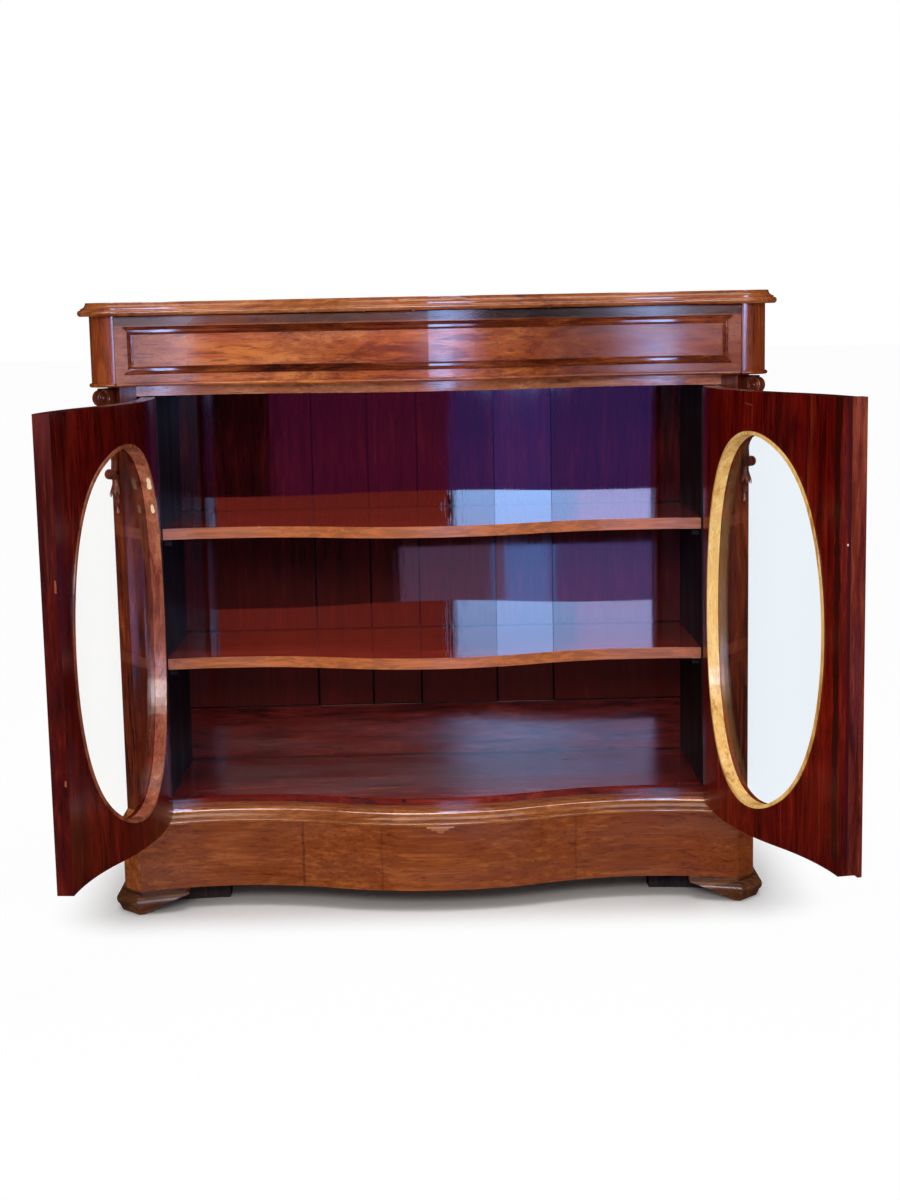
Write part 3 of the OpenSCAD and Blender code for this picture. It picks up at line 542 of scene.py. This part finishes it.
    def leaf(self, turn):
        """One pointed leaf of the calyx, curling out at its tip."""
        rings = []
        for i in range(13):
            f = i / 12
            z = -148 - 26 * f
            lift = 4.2 + 7.0 * math.sin(1.5 * f) ** 2 - 2.0 * max(0.0, f - 0.8)
            half = 3.7 * math.sin(math.pi * min(1.0, 0.28 + 0.74 * f)) ** 0.8 + 0.1
            thick = 1.6 * (1.1 - f)
            ring = []
            for k in range(8):
                a = 2 * math.pi * k / 8
                p, q = lift + thick * math.cos(a) - 0.8 * abs(math.sin(a)), half * math.sin(a)
                ring.append((3.5 + p * math.cos(turn) - q * math.sin(turn),
                             p * math.sin(turn) + q * math.cos(turn), z))
            rings.append(ring)
        self.rings(rings)

    def finish(self, name):
        """The whole corbel as an object: web, two scrolls, necking, calyx, fluted bud and drop."""
        self.body()
        self.scroll(23.6, -17, 12.9, 8.4, 2.2)
        self.scroll(12.5, -138, 8.2, 7.4, 1.8)
        necking = [(-140, 6.0, 0), (-146, 4.6, 0), (-148.5, 5.4, 0), (-150, 5.4, 0), (-152, 4.4, 0),
                   (-160, 4.8, 0.4), (-168, 5.0, 0.6), (-172, 3.6, 0.3), (-175, 2.6, 0)]
        bud = [(-174, 2.4, 0), (-176, 4.2, 0.3), (-179, 5.9, 0.7), (-182, 6.3, 0.8), (-185, 5.6, 0.6),
               (-187.5, 3.6, 0.3), (-188.5, 2.4, 0)]
        drop = [(-188, 1.9, 0), (-190, 1.7, 0), (-193, 2.2, 0), (-197, 3.5, 0), (-200, 4.2, 0),
                (-202.5, 3.9, 0), (-204, 2.7, 0), (-204.8, 1.1, 0)]
        self.turned((4.5, 0), necking, 6)
        for turn in (-78, -39, 0, 39, 78):
            self.leaf(math.radians(turn))
        self.turned((3.2, 0), bud, 8, 48)
        self.turned((2.8, 0), drop)
        bmesh.ops.recalc_face_normals(self.bm, faces=self.bm.faces)
        mesh = bpy.data.meshes.new(name)
        self.bm.to_mesh(mesh)
        self.bm.free()
        mesh.shade_smooth()
        mesh.materials.append(FINISHES["corbel"])
        return placed(name, mesh)


for hand in ("left", "right"):
    carved = Carving(hand).finish(f"corbel_carving_{hand}")
    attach(carved, "carcass")
    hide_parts(f"corbel_{hand}")


# Stage
WINDOW_Y = -3.4  # the far side of the room, where its windows are
FLOOR_GLOW_Y = -1.6  # the part of the room's floor that the bottom board mirrors


def area(name, place, aim, size, colour):
    """A rectangular light of a stated radiance."""
    light = bpy.data.lights.new(name, "AREA")
    light.shape = "RECTANGLE"
    light.size, light.size_y = size
    brightest = max(colour)
    light.energy = math.pi * size[0] * size[1] * brightest
    light.color = [c / brightest for c in colour]
    o = placed(name, light)
    o.location = place
    o.rotation_euler = (Vector(aim) - Vector(place)).to_track_quat("-Z", "Y").to_euler()
    o.visible_camera = False
    return o


def pane(name, y, x, z, colour):
    """A window seen only in the polish: it fills a span of an upright plane in front of the cabinet."""
    middle = Vector(((x[0] + x[1]) / 2, y, (z[0] + z[1]) / 2))
    size = (x[1] - x[0], z[1] - z[0])
    area(name, middle, middle + Vector((0, 1, 0)), size, colour).visible_diffuse = False


def seen(t, path):
    """1 for a ray from the camera, or one that glass passes on before any polish mirrors it."""
    straight = t.math("LESS_THAN", path["Glossy Depth"], 0.5)
    through = t.math("MULTIPLY", path["Is Transmission Ray"], straight)
    return t.math("MAXIMUM", path["Is Camera Ray"], through)


def floor():
    """Pale paint that looks white away from the cabinet's shadow, and dark in the polish."""
    edge = 40
    corners = [(-edge, -edge, 0), (edge, -edge, 0), (edge, edge, 0), (-edge, edge, 0)]
    mesh = bpy.data.meshes.new("studio_floor")
    mesh.from_pydata(corners, [], [(0, 1, 2, 3)])
    t = Tree(bpy.data.materials.new("floor_paint"))
    path = t.node("ShaderNodeLightPath").outputs
    paint = t.mix(path["Is Glossy Ray"], (0.97, 0.97, 0.97), (0.03, 0.025, 0.03))
    s = t.node("ShaderNodeBsdfDiffuse", {"Color": paint})
    white = t.node("ShaderNodeEmission", {"Color": (1, 1, 1, 1), "Strength": 1.0})
    from_cabinet = t.from_block((-0.02, 0.24, 0), (0.50, 0.17, 1))
    far = t.level(from_cabinet, 0.0, 0.15, 0.0, 0.96)
    mesh.materials.append(t.close(t.node("ShaderNodeMixShader", {
        0: t.math("MULTIPLY", far, seen(t, path)), 1: s.outputs[0], 2: white.outputs[0]})))
    placed("studio_floor", mesh)


def world():
    """White to the eye, soft light on the object, and nearly nothing in the polish."""
    t = Tree(bpy.data.worlds.new("studio"), "ShaderNodeOutputWorld")
    bpy.context.scene.world = t.owner
    path = t.node("ShaderNodeLightPath").outputs
    bounced = t.math("GREATER_THAN", path["Glossy Depth"], 0.5)
    through = t.math("MULTIPLY", path["Is Transmission Ray"], bounced)
    mirrored = t.math("MAXIMUM", path["Is Glossy Ray"], through)
    strength = t.math("MAXIMUM", seen(t, path), t.level(mirrored, 0.0, 1.0, 0.5, 0.012))
    t.close(t.node("ShaderNodeBackground", {"Color": (1, 1, 1, 1), "Strength": strength}))


def camera():
    """The camera that was fitted to the photo, whose focal length is in the photo's pixels."""
    eye, focal, photo_height = (-0.0240, -2.9257, 0.9687), 1886.02, 1200
    yaw, pitch, roll = math.radians(-0.58), math.radians(8.75), math.radians(-1.16)
    ahead = Vector((-math.sin(yaw) * math.cos(pitch), math.cos(yaw) * math.cos(pitch), -math.sin(pitch)))
    level = Vector((math.cos(yaw), math.sin(yaw), 0))
    upright = level.cross(ahead)
    right = math.cos(roll) * level + math.sin(roll) * upright
    up = -math.sin(roll) * level + math.cos(roll) * upright
    cam = bpy.data.cameras.new("camera")
    cam.sensor_width = 36.0
    cam.lens = cam.sensor_width * focal / photo_height
    cam.clip_end = 100
    o = placed("camera", cam)
    o.matrix_world = Matrix.Translation(eye) @ Matrix((right, up, -ahead)).transposed().to_4x4()
    bpy.context.scene.camera = o


floor()
world()
camera()
area("key", (-0.5, -3.4, 1.9), (0, 0, 0.5), (2.0, 0.8), (8.4, 8.0, 7.6))
area("overhead", (0.2, -0.5, 3.4), (0.1, -0.1, 0), (2.2, 1.8), (3.2, 3.2, 3.2))
pane("window", WINDOW_Y, (0.07, 0.52), (0.70, 1.25), (9, 15, 29))
pane("window_side", WINDOW_Y, (0.52, 1.0), (0.94, 1.25), (14, 15, 29))
pane("window_left", WINDOW_Y, (-1.6, 0.03), (0.94, 1.25), (4.2, 0.45, 0.3))
pane("skylight", WINDOW_Y, (-3.4, 3.2), (1.55, 1.9), (18, 18, 19.5))
pane("room_left", WINDOW_Y, (-0.6, 0.05), (0.28, 0.70), (0.8, 0.05, 0.3))
pane("room_right", WINDOW_Y, (0.05, 0.85), (0.28, 0.70), (0.5, 0.22, 1.5))
pane("floor_1", FLOOR_GLOW_Y, (-0.10, 0.168), (0.08, 0.31), (1.3, 0.7, 1.4))
pane("floor_2", FLOOR_GLOW_Y, (0.168, 0.329), (0.08, 0.31), (1.0, 1.8, 5.0))
pane("floor_3", FLOOR_GLOW_Y, (0.329, 0.72), (0.08, 0.31), (1.1, 0.8, 2.8))
bpy.context.scene.view_settings.view_transform = "Standard"
